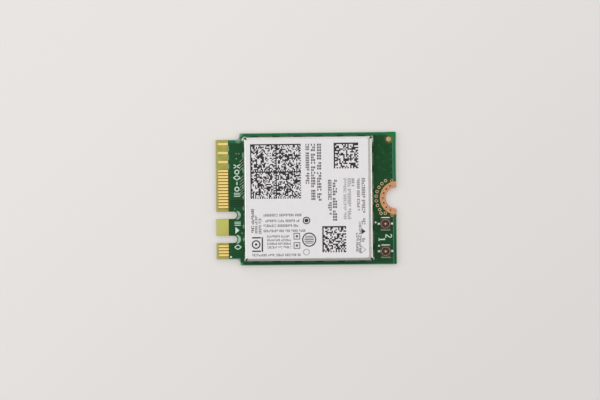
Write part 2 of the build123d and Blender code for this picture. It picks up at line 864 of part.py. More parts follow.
def all_nodes():
    """Every piece of the card by name."""
    nodes = {
        "circuit_board": circuit_board(),
        "solder_mask_top": solder_mask_top(),
        "solder_mask_bottom": solder_mask_bottom(),
        "contact_fingers_top": contact_fingers_top(),
        "contact_fingers_bottom": contact_fingers_bottom(),
        "screw_notch_plating": screw_notch_plating(),
        "stitching_vias": stitching_vias(),
        "fiducial_mark": fiducial_mark(),
        "test_pads": test_pads(),
        "component_pads": component_pads(),
        "shield_ground_pads": shield_ground_pads(),
        "shield_can": shield_can(),
        "shield_solder": shield_solder(),
        "label": label(),
        "label_print": label_print(),
        "silkscreen_marks": silkscreen_marks(),
        "antenna_jack_solder": antenna_jack_solder(),
        "crystal_base": crystal_base(),
        "crystal_lid": crystal_lid(),
    }
    for index in jack_indexes():
        number = index + 1
        nodes[f"antenna_jack_{number}_shell"] = at_jack(index, jack_shell())
        nodes[f"antenna_jack_{number}_housing"] = at_jack(index, jack_housing())
        nodes[f"antenna_jack_{number}_contact"] = at_jack(index, jack_contact())
        body, leads, _, _ = front_end_module(index)
        nodes[f"front_end_module_{number}"] = body
        nodes[f"front_end_module_{number}_leads"] = group(leads)
        body, caps, _, _ = diplexer(index)
        nodes[f"diplexer_{number}"] = body
        nodes[f"diplexer_{number}_terminals"] = group(caps)
    for name, part in (("radio_chip", radio_chip()), ("memory_chip", memory_chip()),
                       ("regulator_chip", regulator_chip())):
        nodes[name] = part[0]
        nodes[f"{name}_leads"] = group(part[1])
    body, caps, _, _ = power_inductor()
    nodes["power_inductor"] = body
    nodes["power_inductor_terminals"] = group(caps)
    for name, parts in (("capacitor", capacitors()), ("resistor", resistors())):
        nodes[f"{name}_bodies"] = group([part[0] for part in parts])
        nodes[f"{name}_terminals"] = group([cap for part in parts for cap in part[1]])
    return nodes


os.makedirs("parts", exist_ok=True)
for name, shape in all_nodes().items():
    export_step(shape, f"parts/{name}.step")
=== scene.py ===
# Looks of the plug-in wireless card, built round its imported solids.
import math
import random

import bpy
from mathutils import Euler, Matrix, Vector


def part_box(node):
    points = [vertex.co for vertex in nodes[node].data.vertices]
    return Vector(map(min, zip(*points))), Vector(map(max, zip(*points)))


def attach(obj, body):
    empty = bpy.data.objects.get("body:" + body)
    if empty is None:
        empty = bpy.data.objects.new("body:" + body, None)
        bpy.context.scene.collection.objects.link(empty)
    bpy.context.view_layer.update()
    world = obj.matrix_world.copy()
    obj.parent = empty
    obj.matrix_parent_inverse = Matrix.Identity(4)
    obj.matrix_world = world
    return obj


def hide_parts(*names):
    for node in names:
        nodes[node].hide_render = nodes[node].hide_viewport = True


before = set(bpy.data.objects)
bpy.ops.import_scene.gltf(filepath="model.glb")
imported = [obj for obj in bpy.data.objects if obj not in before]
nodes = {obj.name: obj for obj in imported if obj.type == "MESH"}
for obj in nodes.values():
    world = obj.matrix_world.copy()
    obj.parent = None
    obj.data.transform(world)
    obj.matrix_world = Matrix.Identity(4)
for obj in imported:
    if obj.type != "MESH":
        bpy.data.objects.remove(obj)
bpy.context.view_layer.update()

MM = 0.001
MICRONS_IN_METRE = 1e6
MM_IN_MICRON = 0.001


# Shapes, all given in millimetres

class Shape:
    """Collects closed forms for one mesh piece."""

    def __init__(self):
        self.points = []
        self.faces = []

    def add(self, points, faces):
        first = len(self.points)
        self.points += points
        self.faces += [[first + i for i in face] for face in faces]

    def plate(self, outline, low, high):
        """Flat plate from an outline that runs anticlockwise."""
        count = len(outline)
        points = [(x, y, low) for x, y in outline] + [(x, y, high) for x, y in outline]
        faces = [list(range(count))[::-1], list(range(count, 2 * count))]
        faces += [[i, (i + 1) % count, (i + 1) % count + count, i + count] for i in range(count)]
        self.add(points, faces)

    def block(self, x0, y0, x1, y1, low, high):
        self.plate([(x0, y0), (x1, y0), (x1, y1), (x0, y1)], low, high)

    def disc(self, x, y, radius, low, high, steps=24):
        self.plate([around(x, y, radius, 360 * i / steps) for i in range(steps)], low, high)

    def ring(self, x, y, inner, outer, low, high, steps=40):
        """Flat ring with a rectangular section."""
        points = []
        for i in range(steps):
            angle = 360 * i / steps
            for radius, level in ((inner, low), (outer, low), (outer, high), (inner, high)):
                points.append((*around(x, y, radius, angle), level))
        faces = []
        for i in range(steps):
            here, there = 4 * i, 4 * ((i + 1) % steps)
            faces += [[here + k, here + (k + 1) % 4, there + (k + 1) % 4, there + k] for k in range(4)]
        self.add(points, [face[::-1] for face in faces])

    def dome(self, x, y, x_radius, y_radius, low, high, steps=20, rings=5):
        """Rounded blob on a level base, round or oval."""
        points = [(x, y, low), (x, y, high)]
        for k in range(rings + 1):
            turn = math.radians(90 * k / (rings + 1))
            level = low + (high - low) * math.sin(turn)
            for i in range(steps):
                across, along = around(0, 0, math.cos(turn), 360 * i / steps)
                points.append((x + across * x_radius, y + along * y_radius, level))
        faces = []
        for i in range(steps):
            after = (i + 1) % steps
            faces.append([0, 2 + after, 2 + i])
            faces.append([1, 2 + rings * steps + i, 2 + rings * steps + after])
            for k in range(rings):
                first = 2 + k * steps
                faces.append([first + i, first + after, first + steps + after, first + steps + i])
        self.add(points, faces)

    def stroke(self, path, width, low, high):
        """Flat line of one width along a path."""
        left, right = [], []
        for i, (x, y) in enumerate(path):
            before, after = path[max(i - 1, 0)], path[min(i + 1, len(path) - 1)]
            run_x, run_y = after[0] - before[0], after[1] - before[1]
            length = math.hypot(run_x, run_y)
            side_x, side_y = -run_y / length * width / 2, run_x / length * width / 2
            left.append((x + side_x, y + side_y))
            right.append((x - side_x, y - side_y))
        self.plate(right + left[::-1], low, high)

    def frame_line(self, x0, y0, x1, y1, width, low, high):
        """Hollow rectangle drawn with a line of one width."""
        self.block(x0, y0, x1, y0 + width, low, high)
        self.block(x0, y1 - width, x1, y1, low, high)
        self.block(x0, y0 + width, x0 + width, y1 - width, low, high)
        self.block(x1 - width, y0 + width, x1, y1 - width, low, high)


def around(x, y, radius, degrees):
    """Point at a radius and a direction from another."""
    turn = math.radians(degrees)
    return (x + radius * math.cos(turn), y + radius * math.sin(turn))


def piece(name, shape, material, replaced=(), smooth=False):
    """One mesh object that rides on the card."""
    mesh = bpy.data.meshes.new(name)
    mesh.from_pydata([Vector(point) * MM for point in shape.points], [], shape.faces)
    mesh.polygons.foreach_set("use_smooth", [smooth] * len(mesh.polygons))
    mesh.materials.append(material)
    made = bpy.data.objects.new(name, mesh)
    bpy.context.scene.collection.objects.link(made)
    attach(made, "root")
    if replaced:
        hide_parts(*replaced)


def parts_of(node):
    """Boxes of a CAD node's separate solids, lowest corner and then highest.

    Corners that lie on the same micron count as one, which joins the faces of a solid.
    """
    mesh = nodes[node].data
    keys = [tuple(round(value * MICRONS_IN_METRE) for value in vertex.co) for vertex in mesh.vertices]
    owner = {key: key for key in keys}

    def root(key):
        while owner[key] != key:
            owner[key] = owner[owner[key]]
            key = owner[key]
        return key

    for polygon in mesh.polygons:
        first = root(keys[polygon.vertices[0]])
        for i in polygon.vertices[1:]:
            owner[root(keys[i])] = first
    boxes = {}
    for key in owner:
        point = [value * MM_IN_MICRON for value in key]
        box = boxes.setdefault(root(key), point + point)
        box[:3] = map(min, box[:3], point)
        box[3:] = map(max, box[3:], point)
    return sorted(boxes.values())


def box_of(node):
    """Box of a whole CAD node, lowest corner and then highest."""
    low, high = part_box(node)
    return [value / MM for value in (*low, *high)]


# Materials

def rgb(red, green, blue):
    """Linear colour from display values of 0 to 255."""
    def linear(value):
        value /= 255
        return value / 12.92 if value <= 0.04045 else ((value + 0.055) / 1.055) ** 2.4
    return (linear(red), linear(green), linear(blue), 1.0)


def grey(level):
    return (level, level, level, 1.0)


def shaded(colour, share):
    """A colour made lighter or darker."""
    return tuple(value * share for value in colour[:3]) + (1.0,)


def add(tree, kind, inputs=None, **settings):
    """One node with its settings, and its inputs as values or as other nodes' outputs."""
    made = tree.nodes.new(kind)
    for key, value in settings.items():
        setattr(made, key, value)
    for key, value in (inputs or {}).items():
        if isinstance(value, bpy.types.NodeSocket):
            tree.links.new(value, made.inputs[key])
        else:
            made.inputs[key].default_value = value
    return made


def maths(tree, operation, first, second=0.0):
    return add(tree, "ShaderNodeMath", {0: first, 1: second}, operation=operation).outputs[0]


def place(tree, stretch=(1, 1, 1)):
    """Position on the card in millimetres, with each axis stretched as asked."""
    where = add(tree, "ShaderNodeTexCoord").outputs["Object"]
    scale = tuple(value / MM for value in stretch)
    return add(tree, "ShaderNodeVectorMath", {0: where, 1: scale}, operation="MULTIPLY").outputs[0]


def axes(tree):
    apart = add(tree, "ShaderNodeSeparateXYZ", {0: place(tree)})
    return apart.outputs[0], apart.outputs[1], apart.outputs[2]


def noise(tree, per_mm, detail=3.0, stretch=(1, 1, 1)):
    inputs = {"Vector": place(tree, stretch), "Scale": per_mm, "Detail": detail}
    return add(tree, "ShaderNodeTexNoise", inputs).outputs["Fac"]


def step(tree, value, start, end):
    """0 below start and 1 above end, smooth between them."""
    inputs = {"Value": value, "From Min": start, "From Max": end}
    return add(tree, "ShaderNodeMapRange", inputs, interpolation_type="SMOOTHSTEP").outputs[0]


def fall(tree, value, start, end):
    """1 below start and 0 above end, smooth between them."""
    return maths(tree, "SUBTRACT", 1.0, step(tree, value, start, end))


def span(tree, value, low, high, soft):
    """1 between two values and 0 beyond them."""
    rise = step(tree, value, low - soft, low + soft)
    return maths(tree, "MULTIPLY", rise, fall(tree, value, high - soft, high + soft))


def scaled(tree, value, low, high):
    """A noise value turned into a range."""
    inputs = {"Value": value, "From Min": 0.3, "From Max": 0.7, "To Min": low, "To Max": high}
    return add(tree, "ShaderNodeMapRange", inputs).outputs[0]


def mixed(tree, factor, first, second):
    return add(tree, "ShaderNodeMix", {0: factor, 6: first, 7: second}, data_type="RGBA").outputs[2]


def tinted(tree, colour, where, share, other):
    """A colour mixed by a share with another where a mask is 1."""
    return mixed(tree, maths(tree, "MULTIPLY", where, share), colour, other)


def weave(tree, pitch):
    """Height of woven glass cloth."""
    x, y, _ = axes(tree)
    waves = [maths(tree, "SINE", maths(tree, "MULTIPLY", value, math.tau / pitch)) for value in (x, y)]
    return maths(tree, "MULTIPLY", *waves)


def distance(tree, x, y):
    """Distance from an upright line."""
    here_x, here_y, _ = axes(tree)
    gap_x = maths(tree, "SUBTRACT", here_x, x)
    gap_y = maths(tree, "SUBTRACT", here_y, y)
    squares = [maths(tree, "POWER", gap, 2.0) for gap in (gap_x, gap_y)]
    return maths(tree, "SQRT", maths(tree, "ADD", *squares))


def close_to(tree, x, y, start, end):
    """1 within one radius of an upright line and 0 beyond another."""
    return fall(tree, distance(tree, x, y), start, end)


def surface(name, colour, roughness, metallic=0.0, specular=0.5, *, bump, depth):
    """Material whose values may be numbers, or functions that build nodes and return their output."""
    material = bpy.data.materials.new(name)
    material.use_nodes = True
    tree = material.node_tree
    shader = tree.nodes["Principled BSDF"]
    values = {"Base Color": colour, "Roughness": roughness, "Metallic": metallic,
              "Specular IOR Level": specular}
    for key, value in values.items():
        if callable(value):
            tree.links.new(value(tree), shader.inputs[key])
        else:
            shader.inputs[key].default_value = value
    bumped = add(tree, "ShaderNodeBump", {"Height": bump(tree), "Distance": depth * MM})
    tree.links.new(bumped.outputs[0], shader.inputs["Normal"])
    return material


def mottled(colour, per_mm, spread, stretch=(1, 1, 1)):
    """Colour that drifts a little lighter and darker."""
    def build(tree):
        factor = scaled(tree, noise(tree, per_mm, 3.0, stretch), 0.0, 1.0)
        return mixed(tree, factor, shaded(colour, 1 - spread), shaded(colour, 1 + spread))
    return build


def grained(per_mm, detail=4.0, stretch=(1, 1, 1)):
    """Height of a fine random grain."""
    return lambda tree: noise(tree, per_mm, detail, stretch)


def varied(low, high, per_mm, stretch=(1, 1, 1)):
    """Roughness that drifts between two values."""
    return lambda tree: scaled(tree, noise(tree, per_mm, 3.0, stretch), low, high)


# Places and sizes on the card, in millimetres from its middle
BOARD = box_of("circuit_board")
CAN = box_of("shield_can")
HALF_WIDTH = BOARD[4]
RIGHT_EDGE = BOARD[3]
SHOULDER = -11.0
TONGUE_HALF = 9.925
INNER_RADIUS = 0.7
SLOT_PLACES = (-2.625, -6.625)
SLOT_END = -12.1
OPEN_TAB = (-6.0, -3.2)
UPPER_ROW = (-1.55, 5.0)
LOWER_ROW = (-9.5, -7.5)
CONTACT_RUN = (-14.62, -12.9)
COAT_START = (-12.6, -12.5)
CLOTH_PITCH = 0.46
PLY_RADIANS_PER_MM = 48.0
FIDUCIAL = [(low + high) / 2 for low, high in zip(box_of("fiducial_mark"), box_of("fiducial_mark")[3:])][:2]
COPPER_BOTTOM, COPPER_TOP = box_of("screw_notch_plating")[2], box_of("screw_notch_plating")[5]
NOTCH_RADIUS = 1.75
RING_RADIUS = 2.75
# How far in from the board's edges the copper fill starts and is full, and a gap too wide to matter
FILL_INSET = (0.46, 0.60)
OUT_OF_REACH = 9.0
JACKS = []
for index in (1, 2):
    jack_box = box_of(f"antenna_jack_{index}_housing")
    JACKS.append(((jack_box[0] + jack_box[3]) / 2, (jack_box[1] + jack_box[4]) / 2))
shell_box = box_of("antenna_jack_1_shell")
JACK_REACH = shell_box[3] - JACKS[0][0]
JACK_SHEET = 0.08
JACK_TAB_TOP = shell_box[2] + JACK_SHEET
JACK_FOOT = (0.85, 1.2)


def coat_colour(tree):
    """Green coat: darker over the copper fill, lighter where it lies on bare laminate near the edges;
    painted shade darkens that band on the near side, and painted highlights run along the edges, the fill's
    right boundary, the shoulders and the tongue's inner corner.
    """
    x, y, _ = axes(tree)
    side = maths(tree, "ABSOLUTE", y)
    from_right = maths(tree, "SUBTRACT", RIGHT_EDGE, x)
    from_side = maths(tree, "SUBTRACT", HALF_WIDTH, side)
    from_tongue = maths(tree, "SUBTRACT", TONGUE_HALF, side)
    on_tongue = maths(tree, "LESS_THAN", x, SHOULDER)
    off_tongue = maths(tree, "MULTIPLY", fall(tree, on_tongue, 0.4, 0.6), OUT_OF_REACH)
    edge = maths(tree, "MINIMUM", from_right, from_side)
    edge = maths(tree, "MINIMUM", edge, maths(tree, "ADD", from_tongue, off_tongue))
    cloud = scaled(tree, noise(tree, 0.9, 4.0), 0.0, 1.0)
    fine = scaled(tree, noise(tree, 7.0, 2.0), 0.0, 1.0)
    fill = mixed(tree, cloud, rgb(7, 62, 27), rgb(13, 77, 35))
    fill = tinted(tree, fill, fine, 0.35, rgb(20, 69, 29))
    left = fall(tree, x, -10.8, -10.2)
    fill = tinted(tree, fill, left, 0.55, rgb(20, 80, 40))
    bare = mixed(tree, cloud, rgb(20, 92, 58), rgb(32, 106, 70))
    # Painted shade: the bare band grows darker towards the near side.
    bare = mixed(tree, fall(tree, y, -9.8, 2.0), bare, rgb(16, 74, 48))
    colour = mixed(tree, fall(tree, edge, *FILL_INSET), fill, bare)
    # Painted highlight: a pale line along the right boundary of the copper fill.
    line = maths(tree, "MULTIPLY", span(tree, from_right, 0.48, 0.60, 0.04), fall(tree, y, 9.2, 10.0))
    colour = tinted(tree, colour, line, 0.75, rgb(82, 136, 106))
    # Painted highlight along the board's edges.
    rim = fall(tree, edge, 0.05, 0.14)
    colour = tinted(tree, colour, rim, 0.5, rgb(150, 204, 176))
    corner = close_to(tree, RIGHT_EDGE - 0.1, HALF_WIDTH - 0.1, 0.8, 2.1)
    colour = tinted(tree, colour, corner, 0.9, rgb(6, 120, 58))
    round_ring = close_to(tree, RIGHT_EDGE, 0.0, 2.9, 3.5)
    colour = tinted(tree, colour, round_ring, 0.45, rgb(58, 80, 26))
    # Painted highlights on the outer corners of the shoulders.
    far_shoulder_highlight = close_to(tree, SHOULDER, HALF_WIDTH - 0.1, 0.3, 0.75)
    near_shoulder_highlight = close_to(tree, SHOULDER, 0.1 - HALF_WIDTH, 0.25, 0.6)
    shoulder_highlights = maths(tree, "ADD", far_shoulder_highlight, near_shoulder_highlight)
    colour = tinted(tree, colour, shoulder_highlights, 0.6, rgb(120, 176, 142))
    # Painted highlight in the inner corner where the tongue meets the shoulder.
    inner_corner_highlight = close_to(tree, SHOULDER - 0.2, TONGUE_HALF - 0.05, 0.1, 0.75)
    return tinted(tree, colour, inner_corner_highlight, 0.6, rgb(150, 172, 154))


def coat_height(tree):
    """Slow waves of the poured coat over the weave under it."""
    waves = noise(tree, 1.6, 2.0)
    cloth = maths(tree, "MULTIPLY", weave(tree, CLOTH_PITCH), 0.12)
    return maths(tree, "ADD", waves, cloth)


def facing_up(tree):
    """1 on level faces and 0 on upright ones."""
    normal = add(tree, "ShaderNodeSeparateXYZ", {0: add(tree, "ShaderNodeNewGeometry").outputs["Normal"]})
    return step(tree, maths(tree, "ABSOLUTE", normal.outputs[2]), 0.3, 0.7)


def bare_cloth(tree):
    """Height of the glass cloth, on the level faces only."""
    return maths(tree, "MULTIPLY", weave(tree, CLOTH_PITCH), facing_up(tree))


def laminate_colour(tree):
    """Bare glass and resin: yellow-green, with painted shade tinted by the gold's reflected light between
    close contacts, dark in the coat's openings.
    """
    x, y, z = axes(tree)
    cloud = scaled(tree, noise(tree, 1.1, 4.0), 0.0, 1.0)
    base = mixed(tree, cloud, rgb(146, 142, 58), rgb(167, 163, 76))
    flat = facing_up(tree)
    threads = scaled(tree, maths(tree, "ADD", weave(tree, CLOTH_PITCH), 0.5), 0.0, 0.22)
    base = mixed(tree, maths(tree, "MULTIPLY", threads, flat), base, rgb(200, 196, 124))
    open_tab = span(tree, y, *OPEN_TAB, 0.3)
    base = tinted(tree, base, open_tab, 0.6, rgb(204, 204, 104))
    stain = maths(tree, "MULTIPLY", open_tab, step(tree, maths(tree, "SUBTRACT", x, y), -9.4, -7.0))
    base = tinted(tree, base, stain, 0.45, rgb(184, 150, 78))
    tip = fall(tree, x, BOARD[0] + 0.05, BOARD[0] + 0.42)
    base = tinted(tree, base, tip, 0.4, rgb(196, 186, 140))
    # Painted shade, tinted by the gold's reflected light, between the close contacts.
    contact_gap_shade = maths(tree, "ADD", span(tree, y, *UPPER_ROW, 0.15), span(tree, y, *LOWER_ROW, 0.15))
    contact_gap_shade = maths(tree, "MULTIPLY", contact_gap_shade, span(tree, x, *CONTACT_RUN, 0.05))
    base = tinted(tree, base, contact_gap_shade, 0.95, rgb(118, 68, 0))
    inboard = maths(tree, "MULTIPLY", flat, step(tree, x, *COAT_START))
    base = tinted(tree, base, inboard, 0.85, rgb(44, 78, 46))
    # Dark olive ring round the fiducial mark, darker on its left side.
    across_mark = step(tree, x, FIDUCIAL[0] - 0.3, FIDUCIAL[0] + 0.6)
    fiducial_ring_tone = mixed(tree, across_mark, rgb(62, 68, 34), rgb(92, 104, 54))
    base = tinted(tree, base, close_to(tree, *FIDUCIAL, 0.8, 0.9), 0.92, fiducial_ring_tone)
    plies = scaled(tree, maths(tree, "SINE", maths(tree, "MULTIPLY", z, PLY_RADIANS_PER_MM)), 0.0, 0.4)
    return mixed(tree, maths(tree, "MULTIPLY", plies, fall(tree, flat, 0.3, 0.7)), base, rgb(112, 104, 52))


def jack_colour(tree):
    """Moulding of the coax jacks: dark grey base, with brown inside the contact ring painted in as the dark
    reflection that the gold plating there shows.
    """
    colour = mixed(tree, noise(tree, 6.0), rgb(56, 59, 45), rgb(74, 74, 58))
    for x, y in JACKS:
        # Painted reflection: brown inside the contact ring and round its middle.
        inside = close_to(tree, x, y, 0.68, 0.72)
        colour = mixed(tree, inside, colour, rgb(80, 52, 33))
        middle = close_to(tree, x, y, 0.18, 0.42)
        colour = mixed(tree, middle, colour, rgb(104, 66, 44))
    return colour


def jack_metal_colour(tree):
    """Plated contact ring, with dull solder wicked over its near and far feet."""
    _, y, _ = axes(tree)
    colour = mixed(tree, noise(tree, 4.0), rgb(168, 160, 140), rgb(190, 182, 162))
    start, end = JACK_FOOT
    for _, jack_y in JACKS:
        near_foot = span(tree, y, jack_y - end, jack_y - start, 0.02)
        colour = mixed(tree, near_foot, colour, rgb(136, 148, 124))
        far_foot = span(tree, y, jack_y + start, jack_y + end, 0.02)
        colour = mixed(tree, far_foot, colour, rgb(92, 94, 78))
    return colour


def shade_in_holes(tree, colour, wall):
    """Painted shade: dark brown down the small plated holes; the notch wall, up to a radius, keeps its
    copper.
    """
    _, _, z = axes(tree)
    between_faces = span(tree, z, COPPER_BOTTOM + 0.035, COPPER_TOP - 0.022, 0.012)
    past_wall = step(tree, distance(tree, RIGHT_EDGE, 0.0), wall, wall + 0.04)
    inside = maths(tree, "MULTIPLY", between_faces, past_wall)
    return mixed(tree, inside, colour, rgb(56, 30, 18))


def ring_colour(tree):
    """Bare copper of the screw notch, with a yellow edge where it meets the coat."""
    cloud = scaled(tree, noise(tree, 1.3), 0.0, 1.0)
    colour = mixed(tree, cloud, rgb(208, 150, 112), rgb(226, 166, 128))
    from_notch = distance(tree, RIGHT_EDGE, 0.0)
    rim = span(tree, from_notch, RING_RADIUS - 0.09, RING_RADIUS + 0.01, 0.02)
    colour = tinted(tree, colour, rim, 0.6, rgb(206, 178, 96))
    _, _, z = axes(tree)
    wall = fall(tree, z, COPPER_TOP - 0.03, COPPER_TOP - 0.005)
    wall = maths(tree, "MULTIPLY", wall, fall(tree, from_notch, NOTCH_RADIUS + 0.01, NOTCH_RADIUS + 0.05))
    colour = mixed(tree, wall, colour, rgb(176, 162, 148))
    return shade_in_holes(tree, colour, NOTCH_RADIUS + 0.06)


def via_colour(tree):
    """Pale copper of the small plated holes beside the screw notch, with painted shade down them."""
    cloud = scaled(tree, noise(tree, 4.0), 0.0, 1.0)
    return shade_in_holes(tree, mixed(tree, cloud, rgb(200, 174, 138), rgb(220, 194, 156)), 0.0)


def can_colour(tree):
    """Tinned sheet, with a painted highlight, paler and cooler, on the bend at the contact end."""
    x, _, _ = axes(tree)
    cloud = scaled(tree, noise(tree, 0.5, 3.0, (1, 4, 4)), 0.0, 1.0)
    colour = mixed(tree, cloud, rgb(207, 205, 198), rgb(217, 215, 208))
    # Painted highlight on the bend at the contact end.
    return mixed(tree, fall(tree, x, CAN[0] + 0.06, CAN[0] + 0.2), colour, rgb(226, 240, 236))


def brushed(tree):
    """Height of fine lines along X."""
    return noise(tree, 2.2, 5.0, (1, 26, 26))


green_coat = surface("green_coat", coat_colour, varied(0.34, 0.46, 1.4), specular=0.2,
                     bump=coat_height, depth=0.004)
trace_coat = surface("trace_coat", mottled(rgb(128, 160, 132), 3.0, 0.25), 0.38, specular=0.3,
                     bump=grained(6.0), depth=0.002)
faint_coat = surface("faint_coat", mottled(rgb(34, 92, 50), 3.0, 0.15), 0.38, specular=0.2,
                     bump=grained(6.0), depth=0.002)
dark_coat = surface("dark_coat", mottled(rgb(14, 40, 20), 3.0, 0.12), 0.38, specular=0.2,
                    bump=grained(6.0), depth=0.002)
laminate = surface("bare_laminate", laminate_colour, varied(0.40, 0.58, 3.0), specular=0.35,
                   bump=bare_cloth, depth=0.006)
gold = surface("contact_gold", mottled(rgb(255, 226, 136), 3.0, 0.03, (0.4, 3, 3)),
               varied(0.18, 0.30, 2.0, (0.3, 6, 6)), 0.7, bump=grained(5.0, 3.0, (0.4, 8, 8)), depth=0.001)
copper = surface("bare_copper", ring_colour, varied(0.34, 0.55, 2.2), 0.7,
                 bump=grained(9.0), depth=0.003)
plated_hole = surface("plated_hole", via_colour, varied(0.35, 0.5, 5.0), 0.6,
                      bump=grained(14.0), depth=0.002)
mark_copper = surface("mark_copper", mottled(rgb(196, 172, 118), 3.0, 0.08), varied(0.4, 0.6, 4.0), 0.7,
                      bump=grained(12.0), depth=0.003)
tinned = surface("tinned_land", mottled(rgb(196, 198, 194), 3.0, 0.08), varied(0.25, 0.45, 4.0), 1.0,
                 bump=grained(9.0), depth=0.004)
solder = surface("solder", mottled(rgb(250, 252, 246), 4.0, 0.03), varied(0.22, 0.36, 5.0), 0.6,
                 bump=grained(7.0), depth=0.003)
# Painted shade: the solder along and under the can's walls is dark and green, as it looks in the can's
# shadow.
solder_in_can_shade = surface("solder_in_can_shade", mottled(rgb(82, 106, 84), 2.5, 0.25), varied(0.32, 0.5, 4.0), 0.6,
                      bump=grained(7.0), depth=0.006)
# Painted shade: a dimmer copy of the solder, for the jack solder on the near side.
solder_in_near_shade = surface("solder_in_near_shade", mottled(rgb(150, 168, 142), 3.0, 0.15), varied(0.3, 0.45, 4.0), 0.5,
                      bump=grained(7.0), depth=0.004)
corner_tin = surface("corner_solder", mottled(rgb(190, 200, 178), 3.0, 0.12), varied(0.3, 0.5, 4.0), 0.5,
                     bump=grained(7.0), depth=0.006)
# Painted shade: solder patches by the can's walls, dimmed as in the can's shadow.
wall_tin_in_shade = surface("wall_solder_in_shade", mottled(rgb(116, 138, 118), 3.0, 0.25), varied(0.35, 0.5, 4.0), 0.4,
                   bump=grained(7.0), depth=0.006)
can_metal = surface("can_sheet", can_colour, varied(0.26, 0.40, 1.2, (1, 8, 8)), 1.0,
                    bump=brushed, depth=0.0012)
label_film = surface("label_film", mottled(rgb(228, 225, 227), 1.2, 0.015), varied(0.5, 0.62, 3.0),
                     specular=0.3, bump=grained(11.0), depth=0.002)
ink = surface("label_ink", mottled(rgb(46, 41, 40), 5.0, 0.25), 0.55, specular=0.3,
              bump=grained(14.0), depth=0.002)
soft_ink = surface("label_ink_soft", mottled(rgb(104, 99, 100), 5.0, 0.2), 0.55, specular=0.3,
                   bump=grained(14.0), depth=0.002)
pale_ink = surface("label_ink_pale", mottled(rgb(152, 148, 150), 5.0, 0.15), 0.55, specular=0.3,
                   bump=grained(14.0), depth=0.002)
white_mark = surface("white_mark", mottled(rgb(208, 228, 212), 6.0, 0.06), 0.5, specular=0.3,
                     bump=grained(10.0), depth=0.004)
pale_coat = surface("pale_coat", mottled(rgb(152, 182, 164), 2.2, 0.25), 0.42, specular=0.3,
                    bump=grained(7.0), depth=0.003)
jack_metal = surface("jack_metal", jack_metal_colour, varied(0.22, 0.36, 6.0), 1.0,
                     bump=grained(12.0), depth=0.002)
jack_pin = surface("jack_pin", mottled(rgb(240, 224, 188), 6.0, 0.05), varied(0.25, 0.35, 6.0), 0.5,
                   bump=grained(12.0), depth=0.001)
jack_moulding = surface("jack_moulding", jack_colour, varied(0.35, 0.5, 6.0), specular=0.35,
                        bump=grained(16.0), depth=0.003)
chip_moulding = surface("chip_moulding", mottled(rgb(38, 38, 40), 5.0, 0.15), varied(0.5, 0.65, 5.0),
                        bump=grained(18.0), depth=0.004)
chip_ceramic = surface("chip_ceramic", mottled(rgb(150, 128, 98), 4.0, 0.12), varied(0.4, 0.6, 6.0),
                       bump=grained(16.0), depth=0.003)
resistor_body = surface("resistor_body", mottled(rgb(44, 42, 48), 5.0, 0.15), varied(0.3, 0.5, 6.0),
                        bump=grained(16.0), depth=0.002)
crystal_lid = surface("crystal_lid", mottled(rgb(206, 204, 196), 1.5, 0.05, (1, 5, 5)),
                      varied(0.25, 0.4, 3.0), 1.0, bump=brushed, depth=0.001)

node_materials = {
    "circuit_board": laminate, "solder_mask_top": green_coat, "solder_mask_bottom": green_coat,
    "contact_fingers_top": gold, "contact_fingers_bottom": gold, "screw_notch_plating": copper,
    "stitching_vias": plated_hole, "fiducial_mark": mark_copper, "test_pads": copper,
    "component_pads": tinned, "shield_ground_pads": solder_in_can_shade, "shield_can": can_metal,
    "shield_solder": solder, "antenna_jack_solder": solder, "label": label_film, "label_print": ink,
    "silkscreen_marks": white_mark, "crystal_base": chip_ceramic, "crystal_lid": crystal_lid,
    "capacitor_bodies": chip_ceramic, "resistor_bodies": resistor_body, "power_inductor": chip_moulding,
}
for name, cad_object in nodes.items():
    material = node_materials.get(name)
    if material is None:
        if name.endswith(("_leads", "_terminals")):
            material = tinned
        elif name.endswith("_housing"):
            material = jack_moulding
        elif name.endswith("_contact"):
            material = jack_pin
        elif name.startswith("antenna_jack"):
            material = jack_metal
        elif name.startswith("diplexer"):
            material = chip_ceramic
        else:
            material = chip_moulding
    cad_object.data.materials.clear()
    cad_object.data.materials.append(material)


# Print on the label, fitted to the fields that the solids carry there

LABEL = box_of("label")
LABEL_TOP = LABEL[5]
PRINT_LOW = LABEL_TOP - 0.004
PRINT_HIGH = LABEL_TOP + 0.012
# A field longer than the first size both ways holds a square code, and a large one beyond the second
CODE_SIZE = 3
LARGE_CODE_SIZE = 6
CODE_FILL = 0.52
# Fields by how far they start from the label's left edge
FIRST_COLUMN = 1.2
MIDDLE_COLUMNS = (9, 15.5)
PALE_COLUMNS = (15.5, 17.2)
# Dashes as shares of the type's height, and how many stacks stand between two gaps
DASH_LENGTH = 0.5
DASH_THICKNESS = 0.25
DASH_LEVELS = (0.0, 0.365, 0.73)
DASH_DROPPED = 0.4
STACK_PITCH = 0.68
WORD_GAP = 0.45
WORD_LENGTH = (3, 9)
chance = random.Random(41)


def code_cells(count, regions):
    """Square code of random cells, with a solid line on two sides of each region."""
    size = count // regions
    cells = []
    for row in range(count):
        line = []
        for column in range(count):
            down, across = row % size, column % size
            if across == 0 or down == 0:
                line.append(True)
            elif across == size - 1:
                line.append(down % 2 == 1)
            elif down == size - 1:
                line.append(across % 2 == 0)
            else:
                line.append(chance.random() < CODE_FILL)
        cells.append(line)
    return cells


def draw_code(shape, box):
    """Fills a square field with cells; touching cells of a row are one block."""
    x0, y0, _, x1, y1, _ = box
    large = x1 - x0 > LARGE_CODE_SIZE
    count, regions = (44, 2) if large else (18, 1)
    wide, tall = (x1 - x0) / count, (y1 - y0) / count
    for row, line in enumerate(code_cells(count, regions)):
        top = y1 - row * tall
        column = 0
        while column < count:
            if not line[column]:
                column += 1
                continue
            start = column
            while column < count and line[column]:
                column += 1
            shape.block(x0 + start * wide, top - tall, x0 + column * wide, top, PRINT_LOW, PRINT_HIGH)


